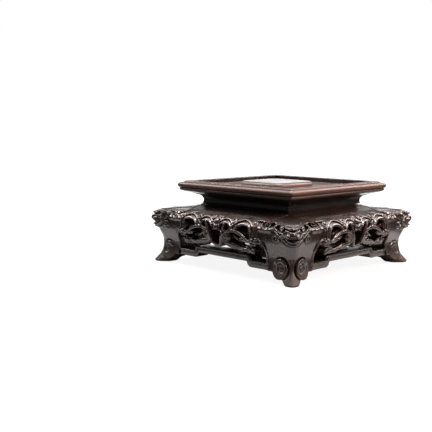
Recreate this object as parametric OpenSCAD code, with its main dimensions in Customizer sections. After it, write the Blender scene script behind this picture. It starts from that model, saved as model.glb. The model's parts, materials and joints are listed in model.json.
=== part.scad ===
// Square waisted hardwood stand with a tray top, pierced aprons and masked cabriole legs.
// The frame has +Z up, the floor at z = 0 and its origin under the middle of the tray.

/* [Stand] */
// Width over the faces of the aprons
stand_w = 195; // [185:1:215]
// Height from the floor to the seat of the waist
body_h = 61.5; // [58:0.5:68]
// Gap round every tenon and tongue
joint_gap = 0.1; // [0.05:0.05:0.2]

/* [Rim] */
// Outer width of the rim
rim_w = 160; // [156:1:166]
// Height of the rim, from the waist to the top of its lip
rim_h = 15.3; // [14.5:0.1:18]
// Width of the tray inside the lip
tray_w = 132; // [128:1:136]
// Depth of the tray below the lip
tray_d = 5.5; // [4:0.1:6.5]
// Width of the flat top of the lip
lip_w = 4.5; // [3:0.1:5]
// Radius of the rim's large bead
bead_r = 4.1; // [3.5:0.1:4.5]
// Drop from the lip to the centre of the large bead
bead_drop = 5.2; // [4.6:0.1:5.6]
// Height of the thin square fillets under the bead
fillet_h = 0.9; // [0.5:0.1:1.2]
// Setback of the upper fillet from the foot of the bead
fillet_back = 2.4; // [2:0.1:2.8]
// Reach of the hollow between the two fillets
hollow_run = 4.8; // [4:0.1:5.2]
// Width of the square edge on each fillet
fillet_ledge = 0.9; // [0.6:0.1:1.2]
// Chamfer on the outer edge of the lip
lip_chamfer = 0.7; // [0.4:0.1:0.9]
// Depth of the quirk between the lip and the bead
quirk_d = 0.6; // [0.3:0.1:0.8]
// Width of the quirk
quirk_w = 1; // [0.6:0.1:1.4]
// Length of the tenon that locks each mitre
mitre_tenon_l = 10; // [6:0.5:11]
// Thickness of the mitre tenon
mitre_tenon_t = 4.4; // [3:0.1:4.6]
// Width of the mitre tenon
mitre_tenon_w = 6; // [4:0.5:7]
// Wood left above the mitre tenon
mitre_cover = 1.5; // [1:0.1:2]

/* [Panel] */
// Width of the panel's face between the rails
panel_w = 106; // [100:1:112]
// Thickness of the panel
panel_t = 7.5; // [6.5:0.1:8.5]
// Thickness of the panel's tongue
tongue_t = 3; // [2:0.1:3.4]
// Length of the panel's tongue
tongue_l = 3.6; // [2.5:0.1:4]
// Depth of the tongue's top face below the face of the panel
tongue_drop = 2.5; // [2:0.1:3]
// Width of the batten under the panel
batten_w = 16; // [12:0.5:20]
// Height of the batten below the panel
batten_h = 6; // [4:0.5:7]
// Height of the batten's dovetail
dovetail_h = 2.6; // [2:0.1:3]
// Spread of the dovetail on each side
dovetail_spread = 1; // [0.5:0.1:1.5]

/* [Boss] */
// Width of the raised boss in the tray
boss_w = 64; // [56:1:72]
// Height of the boss above the tray's floor
boss_h = 5.4; // [4:0.1:6.4]
// Radius of the boss's corners
boss_corner_r = 16; // [8:0.5:20]
// Radius of the boss's top edge
boss_edge_r = 3; // [2:0.1:3.6]
// Depth that the boss is let into the panel
boss_seat = 1.5; // [1:0.1:2]
// Place of the boss along X
boss_x = -4; // [-6:0.5:6]
// Place of the boss along Y
boss_y = -4; // [-6:0.5:6]

/* [Waist] */
// Height of the waist
waist_h = 10.7; // [9:0.1:13]
// Width over the waist's edges
waist_w = 125.2; // [120:0.2:130]
// Depth of the waist's hollow
cove_depth = 3.2; // [2:0.1:4]
// Thickness of the waist boards at their edges
waist_t = 10.6; // [9:0.1:12]
// Thickness of the waist's tongues
waist_tongue_t = 3; // [2:0.1:4]
// Length of the waist's tongues
waist_tongue_l = 2.8; // [2:0.1:3]

/* [Aprons] */
// Thickness of the sloping shoulder board
shoulder_t = 9; // [8:0.1:11]
// Fall of the shoulder from the waist to its round
shoulder_fall = 3.9; // [3:0.1:5]
// Width of the flat seat left outside the waist
seat_edge = 1; // [0.5:0.1:1.5]
// Run of the shoulder's round into the face
round_run = 11.5; // [9:0.5:14]
// Height of the fullest point of the face below the waist's seat
bulge_drop = 14.5; // [13:0.5:16]
// Height from the floor to the foot of the apron
apron_low = 24; // [23:0.5:26]
// How far the face draws in from its fullest point to its foot
draw_in = 5.5; // [4:0.5:7]
// Depth of the pierced wall behind the fullest point of the face
wall_t = 12; // [10:0.5:14]
// Depth of the solid upper wall below the shoulder's underside
frieze_d = 2; // [2:0.1:4]
// Lift of the apron's carved panel above the faces of the legs
panel_lift = 3; // [2:0.1:4]
// Lift of the carved bands above the face
band_lift = 1.2; // [0.6:0.1:1.8]
// Width of the carved straps
strap_w = 3.4; // [2.8:0.1:4]
// Radius of the round end of the middle loop
pendant_r = 7.5; // [6:0.5:9]
// Half width of the loop where it leaves the frieze
pendant_flare = 14; // [12:0.5:16]
// Lift of the loop above the carved panel
pendant_lift = 1.5; // [1:0.1:3]
// Width of the loop's strap
pendant_border = 2.6; // [2:0.1:3.4]
// Place of the inner openings of the frieze from the middle
inner_u = 13.5; // [12.5:0.5:15]
// Length of the inner openings
inner_l = 12; // [10:0.5:13]
// Place of the outer openings from the middle
arch_u = 38; // [36:0.5:39]
// Length of the outer openings
arch_l = 16; // [14:0.5:17]
// Height of the openings in the frieze
arch_h = 6; // [5:0.1:6.4]
// Depth of the pierced band below the frieze
pierced_d = 8.2; // [7.5:0.1:9]
// Radius of the scroll's spiral head
scroll_r = 5; // [4:0.1:6]
// Length of the scroll's leaf
leaf_l = 27; // [25:0.5:28]
// Thickness of the scroll's leaf
leaf_t = 6.4; // [5:0.1:7]
// Width of the ribbed belt
belt_w = 8; // [6:0.5:10]
// Place of the belt from the leg
belt_gap = 10; // [8:0.1:12]
// Length of the belt below the frieze
belt_l = 15; // [14:0.5:16]
// Length of the loop from the frieze to the centre of its round end
pendant_l = 16.5; // [15.5:0.5:17]
// Drop of the openings' middle below the frieze
arch_drop = 4; // [3.6:0.1:4.4]
// Place of the spiral head from the middle
head_u = 14; // [13:0.5:15]
// Drop of the spiral head below the frieze
head_drop = 12.5; // [12:0.5:13.5]
// Radius of the strap that springs from the spiral head
spring_r = 14.5; // [14:0.5:15]
// Radius of the scroll's tail where it leaves the spiral head
tail_r = 11; // [10.5:0.5:11.5]
// Radius of the rounded end of the leaf
club_r = 3.8; // [3:0.1:4.2]
// Depth of the smooth roll beside the leg, below the frieze
roll_d = 11.2; // [10.5:0.1:12]
// Radius of the opening's corner under the roll
opening_r = 11; // [10:0.5:12]
// Radius of the leaf spray's lobes under the belt
lobe_r = 3.2; // [2.6:0.1:3.6]
// Length of the apron's tenons
apron_tenon_l = 8; // [6:0.5:9]
// Thickness of the apron's tenons
apron_tenon_t = 6; // [4:0.5:7]
// Height of the apron's tenons
apron_tenon_h = 8; // [6:0.5:9]

/* [Legs] */
// Width of a leg on each face
leg_w = 34.6; // [33:0.1:37]
// Spread of the foot's tip beyond the ankle
foot_spread = 6; // [4:0.5:7]
// Width of the foot on the floor
foot_w = 18; // [14:0.5:20]
// How far the trunk's inner side leans back under the volutes
foot_rake = 9; // [6:0.5:12]
// Height at which the trunk starts to narrow to its tip
foot_h = 10; // [7:0.5:11]
// Width of the trunk across the corner where it starts to narrow
trunk_w = 18; // [15:0.5:23]
// Width of the trunk's tip across the corner
toe_w = 12.5; // [11:0.5:17]
// Height of the leg's underside at the stretcher
heel_h = 10.3; // [9.5:0.1:11]
// Cut that rounds the leg's outer corner
corner_cut = 2.4; // [1.6:0.1:3]
// Radius of the volutes
volute_r = 10.5; // [9:0.5:11]
// Height of the volutes' centre
volute_z = 14.8; // [14:0.1:16]
// Place of the volutes from the leg's inner edge
volute_u = 15.6; // [15:0.1:17]
// Width of the ring round the volutes
volute_ring = 2; // [1.6:0.1:2.4]
// Width of the bead that frames the opening
frame_bead_w = 2.4; // [1.8:0.1:3]
// Place of the mask's eye from the leg's outer face
eye_u = 15; // [13:0.5:17]
// Drop of the mask's eye below the waist's seat
eye_drop = 9.5; // [8.5:0.5:11]
// Radius of the mask's eye
eye_r = 2.6; // [2:0.1:3]
// Depth of the eye's centre behind the face
eye_sink = 3.2; // [2.6:0.1:3.6]
// Radius of the brow over the eye
brow_r = 5.4; // [5:0.1:6]
// Width of the mask's brows and jaw
brow_w = 2.2; // [1.8:0.1:2.6]
// Radius of the whisker curl
whisker_r = 3.6; // [3:0.1:4]
// Place of the whisker curl from the eye
whisker_out = 5; // [4:0.5:6]
// Drop of the whisker curl below the eye
whisker_drop = 9.5; // [9:0.5:10]
// Radius of the jaw's bow
jaw_r = 14; // [13:0.5:15]
// Drop of the mask's nose below the waist's seat
nose_drop = 11.5; // [10.5:0.5:13]
// Radius of the mask's nose
nose_r = 4; // [3:0.1:4.5]
// Radius of the mask's nostrils
nostril_r = 2.8; // [2:0.1:3.2]
// Place of the nostrils from the nose along each face
nostril_u = 6.5; // [5:0.5:8]

/* [Stretchers] */
// Height of the middle of the stretcher's underside
hump_z = 15.5; // [14:0.5:17]
// Height of the stretcher's section
stretcher_t = 7; // [5:0.1:8]
// Rise of the hump above the ends
hump_rise = 5.2; // [4:0.1:6]
// Length of the level ends, from the leg
end_l = 23.4; // [20:0.2:26]
// Run of the slope between the ends and the hump
slope_run = 5; // [3:0.5:6]
// Depth of the stretchers from front to back
stretcher_d = 17; // [14:0.5:18]
// Length of the stretcher's tenons
stretcher_tenon_l = 8; // [6:0.5:9]
// Thickness of the stretcher's tenons
stretcher_tenon_t = 5; // [4:0.5:6]
// Setback of the stretcher's face from the ankle, and the lift of its bead
stretcher_back = 1; // [0.6:0.1:1.4]
// Width of the shoulder round the stretcher's tenons
stretcher_tenon_shoulder = 0.8; // [0.5:0.1:1]

/* [Hidden] */
$fn = 48;
rosewood = [0.20, 0.11, 0.08];
dark_rosewood = [0.15, 0.08, 0.06];
far = 2 * stand_w;
arc_step = 15;

// Levels
rim_z = body_h + waist_h;
top_z = rim_z + rim_h;
floor_z = top_z - tray_d;

// Half widths, measured from the middle of the stand to each side
rim_half = rim_w / 2;
tray_half = tray_w / 2;
panel_half = panel_w / 2;
waist_half = waist_w / 2;
waist_in = waist_half - waist_t;
cove_r = (pow(cove_depth, 2) + pow(waist_h / 2, 2)) / (2 * cove_depth);
face_half = stand_w / 2;
ankle_half = face_half - draw_in;
span_half = face_half - leg_w;
wall_in = face_half - wall_t;
bulge_z = body_h - bulge_drop;
frieze_z = body_h - shoulder_t - frieze_d;
roll_z = frieze_z - roll_d;
belt_u = span_half - belt_gap - belt_w;
head = [head_u, frieze_z - head_drop];
carved_half = belt_u + belt_w;
opening = [span_half - frame_bead_w - opening_r, roll_z - opening_r];

// Points of a cubic curve from a to d with handles b and c
function curve(a, b, c, d, steps = 6) = [
    for (i = [0:steps])
        let (t = i / steps, s = 1 - t)
        s * s * s * a + 3 * s * s * t * b + 3 * s * t * t * c + t * t * t * d
];

// Points of an arc about a centre
function arc(centre, r, from, to) = [
    for (i = [0:round(abs(to - from) / arc_step)])
        let (turn = from + (to - from) * i / round(abs(to - from) / arc_step))
        centre + r * [cos(turn), sin(turn)]
];

// Shoulder and face as [distance from the middle, height], down to the foot of the apron
function face_line(lift = 0) =
    let (round_half = face_half - round_run, round_z = body_h - shoulder_fall)
    concat(
        curve([round_half, round_z], [round_half + 0.6 * round_run, round_z - 0.1 * round_run],
            [face_half, bulge_z + 0.5 * round_run], [face_half, bulge_z]),
        [for (p = curve([face_half, bulge_z], [face_half, bulge_z - 0.3 * (bulge_z - apron_low)],
            [ankle_half + 0.2 * draw_in, apron_low + 0.4 * (bulge_z - apron_low)],
            [ankle_half, apron_low])) if (p.y < bulge_z) p]
    ) + [for (i = [0:12]) [lift, 0]];

// The leg's own line goes on down to the tip of the foot
function leg_line(lift = 0) = concat(
    face_line(lift),
    [for (p = curve([ankle_half, apron_low], [ankle_half - 1, 0.6 * apron_low],
        [ankle_half, 0.3 * apron_low], [ankle_half + foot_spread, 0])) if (p.y < apron_low)
        p + [lift, 0]]
);

// Turns a front piece to one of the four sides
module on_side(turns) rotate(90 * turns) children();

// A section drawn as [distance from the middle, height], run along the front side
module along_side(length) rotate([90, 0, -90]) linear_extrude(length, center = true) children();

// A face drawing as [place along the side, height], standing between two depths
module across_side(from, to)
    translate([0, -from, 0]) rotate([90, 0, 0]) linear_extrude(to - from) children();

// The wedge of the front side between the two mitres
module mitre_wedge() linear_extrude(far, center = true) polygon([[0, 0], [-far, -far], [far, -far]]);

// A block given by its two corners
module block(low, high) translate(low) cube(high - low);

// A ring segment of a strap
module strap(centre, r, w, from, to) intersection() {
    translate(centre) difference() {
        circle(r + w / 2);
        circle(r - w / 2);
    }
    polygon(concat([centre], arc(centre, 3 * r, from, to)));
}

// Radius of the arcs that bound a pointed leaf
function leaf_r(length, thick) = (pow(length / 2, 2) + pow(thick / 2, 2)) / thick;

// A pointed leaf between two arcs
module leaf(centre, length, thick) {
    r = leaf_r(length, thick);
    intersection_for (side = [-1, 1])
        translate(centre + [0, side * (r - thick / 2)]) circle(r);
}

// Rim: mitred rails with a lip, a large bead and a stepped hollow under it
module rim_section() {
    bead = [rim_half - bead_r, top_z - bead_drop];
    bead_start = bead + bead_r * [cos(50), -sin(50)];
    groove_half = tray_half + lip_w + lip_chamfer;
    quirk_z = bead.y + bead_r - quirk_d;
    upper = [bead_start.x - fillet_back, bead_start.y];
    step_h = (upper.y - rim_z - 2 * fillet_h) / 2;
    lower = [upper.x - hollow_run, rim_z + step_h];
    tongue_z = floor_z - tongue_drop;
    slot_z = tongue_z + joint_gap;
    polygon(concat(
        [[waist_half, rim_z]],
        [lower, lower + [0, fillet_h]],
        curve(lower + [fillet_ledge, fillet_h], lower + [0.65 * hollow_run, fillet_h],
            upper + [0, -fillet_h - 0.55 * step_h], upper + [0, -fillet_h], 4),
        [upper],
        arc(bead, bead_r, -50, 90),
        [[groove_half + quirk_w, bead.y + bead_r], [groove_half + quirk_w, quirk_z]],
        [[groove_half, quirk_z], [groove_half, top_z - lip_chamfer]],
        [[groove_half - lip_chamfer, top_z], [tray_half, top_z], [tray_half, floor_z]],
        [[panel_half, floor_z]],
        [[panel_half, slot_z], [panel_half + tongue_l + joint_gap, slot_z]],
        [[panel_half + tongue_l + joint_gap, slot_z - tongue_t - 2 * joint_gap]],
        [[panel_half, slot_z - tongue_t - 2 * joint_gap], [panel_half, rim_z]]
    ));
}

// Tenon of a front or back rail, and with a gap its mortise in the side rail
module mitre_tenons(gap = 0) {
    end = tray_half - mitre_tenon_w + mitre_tenon_l;
    low_z = floor_z - mitre_cover - mitre_tenon_t;
    for (side = [0, 1]) mirror([side, 0, 0])
        block([tray_half - mitre_tenon_w - gap, -tray_half - gap, low_z - gap],
            [end + gap, -tray_half + mitre_tenon_w + gap, low_z + mitre_tenon_t + gap]);
}

module waist_slot(z) along_side(far) translate([waist_in + waist_t / 2, z])
    square([waist_tongue_t, 2 * waist_tongue_l] + 2 * [joint_gap, joint_gap], center = true);

module rim_rail(has_tenons) difference() {
    union() {
        intersection() {
            along_side(rim_w) rim_section();
            mitre_wedge();
        }
        if (has_tenons) mitre_tenons();
    }
    waist_slot(rim_z);
    if (!has_tenons) for (turns = [-1, 1]) on_side(turns) mitre_tenons(joint_gap);
}

module rim_rail_front() color(rosewood) on_side(0) rim_rail(true);
module rim_rail_right() color(rosewood) on_side(1) rim_rail(false);
module rim_rail_back() color(rosewood) on_side(2) rim_rail(true);
module rim_rail_left() color(rosewood) on_side(3) rim_rail(false);

// Panel: floats in the rails' slot, with a dovetail housing below and a seat for the boss
module panel_square(w, low, high) translate([-w / 2, -w / 2, low]) cube([w, w, high - low]);

module batten_section(gap) {
    base_z = floor_z - panel_t;
    low_w = batten_w / 2 - dovetail_spread + gap;
    polygon([
        [-low_w, base_z], [low_w, base_z],
        [low_w + dovetail_spread, base_z + dovetail_h + gap],
        [-low_w - dovetail_spread, base_z + dovetail_h + gap],
    ]);
}

module top_panel() color(rosewood) difference() {
    union() {
        panel_square(panel_w - 2 * joint_gap, floor_z - panel_t, floor_z);
        panel_square(panel_w + 2 * tongue_l - 2 * joint_gap, floor_z - tongue_drop - tongue_t,
            floor_z - tongue_drop);
    }
    across_side(-far, far) batten_section(joint_gap);
    translate([boss_x, boss_y, floor_z - boss_seat]) linear_extrude(far) boss_outline(joint_gap);
}

module panel_batten() color(dark_rosewood) union() {
    base_z = floor_z - panel_t;
    half_l = panel_half - joint_gap;
    body_l = waist_in - joint_gap;
    root_w = batten_w / 2 - dovetail_spread;
    across_side(-half_l, half_l) batten_section(0);
    block([-batten_w / 2, -body_l, base_z - batten_h], [batten_w / 2, body_l, base_z]);
    block([-root_w, -body_l, base_z - batten_h], [root_w, body_l, base_z + dovetail_h]);
}

// Boss: rounded block that carries the foot of a vessel
module boss_outline(gap) {
    inner = boss_w / 2 - boss_corner_r;
    union() {
        square([boss_w + 2 * gap, 2 * inner], center = true);
        square([2 * inner, boss_w + 2 * gap], center = true);
        for (x = [-inner, inner], y = [-inner, inner]) translate([x, y]) circle(boss_corner_r + gap);
    }
}

module vessel_boss() color(rosewood) translate([boss_x, boss_y, floor_z - boss_seat]) {
    inner = boss_w / 2 - boss_corner_r;
    height = boss_seat + boss_h;
    hull() for (x = [-inner, inner], y = [-inner, inner]) translate([x, y]) rotate_extrude($fn = 32)
        polygon(concat([[0, 0], [boss_corner_r, 0]],
            arc([boss_corner_r - boss_edge_r, height - boss_edge_r], boss_edge_r, 0, 90),
            [[0, height]]));
}

// Waist: hollowed boards, tongued into the rim above and the aprons below
module waist() intersection() {
    along_side(far) union() {
        difference() {
            translate([waist_in, body_h]) square([waist_t, waist_h]);
            translate([waist_half - cove_depth + cove_r, body_h + waist_h / 2]) circle(cove_r);
        }
        translate([waist_in + (waist_t - waist_tongue_t) / 2, body_h - waist_tongue_l])
            square([waist_tongue_t, waist_h + 2 * waist_tongue_l]);
    }
    mitre_wedge();
}

module waist_front() color(dark_rosewood) on_side(0) waist();
module waist_right() color(dark_rosewood) on_side(1) waist();
module waist_back() color(dark_rosewood) on_side(2) waist();
module waist_left() color(dark_rosewood) on_side(3) waist();

// Aprons: sloping shoulder, solid frieze and a pierced wall of scrolls, all on one bulging face
module face_body(lift = 0) along_side(far)
    polygon(concat([[waist_half + seat_edge, body_h]], leg_line(lift), [[wall_in, 0], [wall_in, body_h]]));

// Loop that hangs from the middle of the frieze
module loop_outline(inset) {
    tip = frieze_z - pendant_l;
    half = pendant_r - inset;
    flare = pendant_flare - inset;
    translate([0, tip]) circle(half);
    polygon([[-half, tip], [half, tip], [flare, frieze_z], [-flare, frieze_z]]);
}

module loop() difference() {
    loop_outline(0);
    loop_outline(pendant_border);
}

// Openings of the pierced band on one half of the face, and the raised arches over them
module frieze_openings() {
    leaf([inner_u, frieze_z - arch_drop], inner_l, arch_h);
    leaf([arch_u, frieze_z - arch_drop], arch_l, arch_h);
}

module arch(u, length) {
    r = leaf_r(length, arch_h) + strap_w / 2;
    turn = acos(length / 2 / r);
    strap([u, frieze_z - arch_drop + arch_h / 2 - leaf_r(length, arch_h)], r, strap_w, turn, 180 - turn);
}

module arches() {
    arch(inner_u, inner_l);
    arch(arch_u, arch_l);
}

// Scrolls on one half of the face
module scroll_head() translate(head) difference() {
    circle(scroll_r);
    translate([scroll_r / 3, -scroll_r / 5]) circle(scroll_r / 4);
}

module scroll() {
    spring = head - spring_r * [cos(145), sin(145)];
    spring_end = spring + spring_r * [cos(28), sin(28)];
    tail = head - tail_r * [cos(190), sin(190)];
    leaf_start = tail + tail_r * [cos(290), sin(290)] - [leaf_t, strap_w / 2];
    strap(spring, spring_r, strap_w, 28, 145);
    strap(tail, tail_r, strap_w, 190, 292);
    leaf(leaf_start + [leaf_l / 2, 0], leaf_l, leaf_t);
    translate(leaf_start + [leaf_l - club_r / 2, 0]) circle(club_r);
    translate(spring_end) circle(strap_w);
    translate(spring_end - [0, strap_w / 2]) square([belt_u - spring_end.x + strap_w / 2, strap_w]);
}

module belt(count = 3) {
    pitch = belt_w / count;
    for (i = [0:count - 1]) translate([belt_u + (i + 0.14) * pitch, frieze_z - belt_l])
        square([0.72 * pitch, belt_l + frieze_d]);
}

// Smooth roll beside the leg, with the opening's round corner under it
module shoulder_roll() difference() {
    translate([span_half - belt_gap, opening.y]) square([belt_gap, roll_d + opening_r]);
    translate(opening) circle(opening_r);
    translate(opening - [2 * opening_r, 0]) square([2 * opening_r, opening_r]);
}

// Frame bead: stands on the stretcher beside the leg and bends round the opening's corner
module frame_bead() {
    stretcher_top = hump_z - hump_rise + stretcher_t;
    strap(opening, opening_r + frame_bead_w / 2, frame_bead_w, 0, 90);
    translate([span_half - frame_bead_w, stretcher_top]) square([frame_bead_w, opening.y - stretcher_top]);
}

// Leaf spray under the belt: three lobes that shrink towards the opening
module corner_spray() for (i = [0:2])
    translate([belt_u + belt_w + (i - 1) * lobe_r, roll_z - (0.5 + i / 3) * lobe_r])
        circle(lobe_r * (1 - 0.15 * i));

module both_halves() for (side = [0, 1]) mirror([side, 0]) children();

module apron_tenons(gap = 0) {
    tenon_z = frieze_z - apron_tenon_h / 2;
    for (side = [0, 1]) mirror([side, 0, 0])
        block([span_half - 1, -wall_in - apron_tenon_t - gap, tenon_z - gap],
            [span_half + apron_tenon_l + gap, -wall_in + gap, tenon_z + apron_tenon_h + gap]);
}

module apron() difference() {
    union() {
        intersection() {
            along_side(2 * span_half) polygon(concat(
                [[waist_in, body_h - shoulder_t], [waist_in, body_h], [waist_half + seat_edge, body_h]],
                [for (p = face_line()) if (p.y > frieze_z) p],
                [[face_half - wall_t / 2, frieze_z], [wall_in, frieze_z], [wall_in, body_h - shoulder_t]]
            ));
            mitre_wedge();
        }
        intersection() {
            across_side(wall_in, far) intersection() {
                union() {
                    translate([-span_half, frieze_z]) square([2 * span_half, frieze_d]);
                    both_halves() {
                        shoulder_roll();
                        frame_bead();
                    }
                }
                translate([-span_half, 0]) square([2 * span_half, frieze_z + frieze_d]);
            }
            face_body();
        }
        intersection() {
            across_side(wall_in, far) intersection() {
                union() {
                    translate([-carved_half, frieze_z]) square([2 * carved_half, body_h - frieze_z]);
                    difference() {
                        translate([-carved_half, frieze_z - pierced_d])
                            square([2 * carved_half, pierced_d + frieze_d]);
                        both_halves() frieze_openings();
                    }
                    loop();
                    both_halves() {
                        scroll_head();
                        scroll();
                        corner_spray();
                        translate([belt_u, frieze_z - belt_l]) square([belt_w, belt_l]);
                    }
                }
                translate([-span_half, 0]) square([2 * span_half, body_h]);
            }
            face_body(panel_lift);
        }
        intersection() {
            across_side(face_half - wall_t / 2, far) loop();
            face_body(panel_lift + pendant_lift);
        }
        intersection() {
            across_side(face_half - wall_t / 2, far) both_halves() {
                arches();
                scroll_head();
                belt();
            }
            face_body(panel_lift + band_lift);
        }
        intersection() {
            across_side(face_half - wall_t / 2, far) both_halves() frame_bead();
            face_body(band_lift);
        }
        apron_tenons();
    }
    waist_slot(body_h);
}

module apron_front() color(rosewood) on_side(0) apron();
module apron_right() color(rosewood) on_side(1) apron();
module apron_back() color(rosewood) on_side(2) apron();
module apron_left() color(rosewood) on_side(3) apron();

// Legs: cabriole corner posts, the same line on both faces, with a mask, volutes and a trunk foot
module leg_outline(lift = 0) {
    foot_in = ankle_half + foot_spread - foot_w;
    intersection() {
        polygon(concat([[waist_half + seat_edge, body_h]], leg_line(lift), [[0, 0], [0, body_h]]));
        union() {
            translate([span_half, heel_h]) square([far, far]);
            translate([span_half + volute_u, volute_z]) circle(volute_r);
            polygon([[foot_in, 0], [far, 0], [far, heel_h + 1], [foot_in - foot_rake, heel_h + 1]]);
        }
    }
}

// Wood cut away on each side of the trunk, in front of the volutes, seen along the corner
module trunk_sides() {
    volute_d = (span_half + volute_u + ankle_half) / sqrt(2);
    rotate(45) across_side(volute_d, far) for (side = [0, 1]) mirror([side, 0])
        polygon([[toe_w / 2, 0], [trunk_w / 2, foot_h], [far, foot_h], [far, -foot_h], [toe_w / 2, -foot_h]]);
}

module leg_faces(lift) intersection() {
    along_side(far) leg_outline(lift);
    on_side(1) along_side(far) leg_outline(lift);
    block([span_half, -far, 0], [far, -span_half, far]);
}

module leg_corner() rotate(45) along_side(far) polygon(concat(
    [[0, body_h], [sqrt(2) * (waist_half + seat_edge), body_h]],
    [for (p = leg_line()) [sqrt(2) * (p.x - corner_cut), p.y]],
    [[0, 0]]
));

// Carving on the front face of the leg: volute, brow, whisker curl and jaw
module leg_carving() {
    eye = [face_half - eye_u, body_h - eye_drop];
    volute = [span_half + volute_u, volute_z];
    strap(volute, volute_r - volute_ring / 2, volute_ring, 0, 180);
    strap(volute, volute_r - volute_ring / 2, volute_ring, 180, 360);
    translate(volute) circle(volute_r - 2 * volute_ring);
    strap(eye, brow_r, brow_w, 10, 190);
    strap(eye - [whisker_out, whisker_drop], whisker_r, 0.8 * brow_w, -60, 250);
    strap([face_half, body_h - eye_drop], jaw_r, brow_w, 215, 262);
}

// Snout of the mask: a nose on the corner, its bridge and a nostril on each face
module snout() {
    nose = face_half - nose_r / 4;
    bridge = face_half - nose_r;
    nose_z = body_h - nose_drop;
    translate([nose, -nose, nose_z]) sphere(nose_r);
    translate([bridge, -bridge, nose_z]) cylinder(nose_drop / 2, r = nose_r / 2);
    for (side = [0, 1]) mirror([side, side, 0])
        translate([nose - nostril_u, -face_half + nostril_r / 4, nose_z - nostril_r / 2]) sphere(nostril_r);
}

module leg() difference() {
    union() {
        intersection() {
            leg_faces(0);
            leg_corner();
        }
        for (side = [0, 1]) mirror([side, side, 0]) {
            intersection() {
                across_side(face_half - wall_t, far) leg_carving();
                leg_faces(band_lift);
            }
            translate([face_half - eye_u, -face_half + eye_sink, body_h - eye_drop]) sphere(eye_r);
        }
        snout();
    }
    trunk_sides();
    for (turns = [0, 1]) on_side(turns) {
        apron_tenons(joint_gap);
        stretcher_tenons(joint_gap);
    }
}

module leg_front_right() color(dark_rosewood) on_side(0) leg();
module leg_back_right() color(dark_rosewood) on_side(1) leg();
module leg_back_left() color(dark_rosewood) on_side(2) leg();
module leg_front_left() color(dark_rosewood) on_side(3) leg();

// Stretchers: humpbacked rails under the aprons, with a raised bead along the top edge
function hump_line(z) = [
    for (side = [1, -1])
        let (low = [span_half - end_l, z - hump_rise], high = [low.x - slope_run, z])
        each [for (p = side > 0 ? curve(low, low - [0.6 * slope_run, 0], high + [0.6 * slope_run, 0], high)
            : curve(high, high + [0.6 * slope_run, 0], low - [0.6 * slope_run, 0], low)) [side * p.x, p.y]]
];

module stretcher_outline(low, high) polygon(concat(
    [[span_half, low - hump_rise]], hump_line(low), [[-span_half, low - hump_rise]],
    [[-span_half, high - hump_rise]], [for (i = [13:-1:0]) hump_line(high)[i]],
    [[span_half, high - hump_rise]]
));

module stretcher_tenons(gap = 0) {
    low_z = hump_z - hump_rise + stretcher_tenon_shoulder;
    back = ankle_half - stretcher_back - (stretcher_d + stretcher_tenon_t) / 2;
    for (side = [0, 1]) mirror([side, 0, 0])
        block([span_half - 1, -back - stretcher_tenon_t - gap, low_z - gap],
            [span_half + stretcher_tenon_l + gap, -back + gap,
                hump_z - hump_rise + stretcher_t - stretcher_tenon_shoulder + gap]);
}

module stretcher() {
    face = ankle_half - stretcher_back;
    across_side(face - stretcher_d, face) stretcher_outline(hump_z, hump_z + stretcher_t);
    across_side(face - stretcher_back, face + stretcher_back)
        stretcher_outline(hump_z + stretcher_t - frame_bead_w, hump_z + stretcher_t);
    stretcher_tenons();
}

module stretcher_front() color(dark_rosewood) on_side(0) stretcher();
module stretcher_right() color(dark_rosewood) on_side(1) stretcher();
module stretcher_back() color(dark_rosewood) on_side(2) stretcher();
module stretcher_left() color(dark_rosewood) on_side(3) stretcher();

rim_rail_front();
rim_rail_right();
rim_rail_back();
rim_rail_left();
top_panel();
panel_batten();
vessel_boss();
waist_front();
waist_right();
waist_back();
waist_left();
apron_front();
apron_right();
apron_back();
apron_left();
leg_front_right();
leg_back_right();
leg_back_left();
leg_front_left();
stretcher_front();
stretcher_right();
stretcher_back();
stretcher_left();
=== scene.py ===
import json
import math

import bmesh
import bpy
import numpy as np
from mathutils import Matrix, Vector

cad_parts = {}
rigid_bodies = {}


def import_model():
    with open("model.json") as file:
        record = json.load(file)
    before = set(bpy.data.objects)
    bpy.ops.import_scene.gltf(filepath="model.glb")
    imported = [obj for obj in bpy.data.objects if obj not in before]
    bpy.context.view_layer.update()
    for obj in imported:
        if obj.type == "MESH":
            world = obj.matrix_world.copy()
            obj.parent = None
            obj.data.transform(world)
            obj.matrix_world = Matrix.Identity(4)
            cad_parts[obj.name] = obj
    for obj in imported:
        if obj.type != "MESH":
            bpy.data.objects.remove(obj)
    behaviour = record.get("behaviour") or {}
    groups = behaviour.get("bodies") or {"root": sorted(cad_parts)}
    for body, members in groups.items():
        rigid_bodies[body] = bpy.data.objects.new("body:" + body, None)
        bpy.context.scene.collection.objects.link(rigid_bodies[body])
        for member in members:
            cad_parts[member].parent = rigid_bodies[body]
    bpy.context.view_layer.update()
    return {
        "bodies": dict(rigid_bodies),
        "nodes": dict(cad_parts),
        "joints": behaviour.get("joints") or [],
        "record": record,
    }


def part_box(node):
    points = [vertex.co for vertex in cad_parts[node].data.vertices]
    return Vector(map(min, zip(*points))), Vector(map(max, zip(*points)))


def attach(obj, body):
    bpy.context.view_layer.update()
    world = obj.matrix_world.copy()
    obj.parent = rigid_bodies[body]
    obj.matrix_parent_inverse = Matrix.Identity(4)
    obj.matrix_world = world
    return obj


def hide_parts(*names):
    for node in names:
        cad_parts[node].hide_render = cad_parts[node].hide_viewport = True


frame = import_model()

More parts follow.
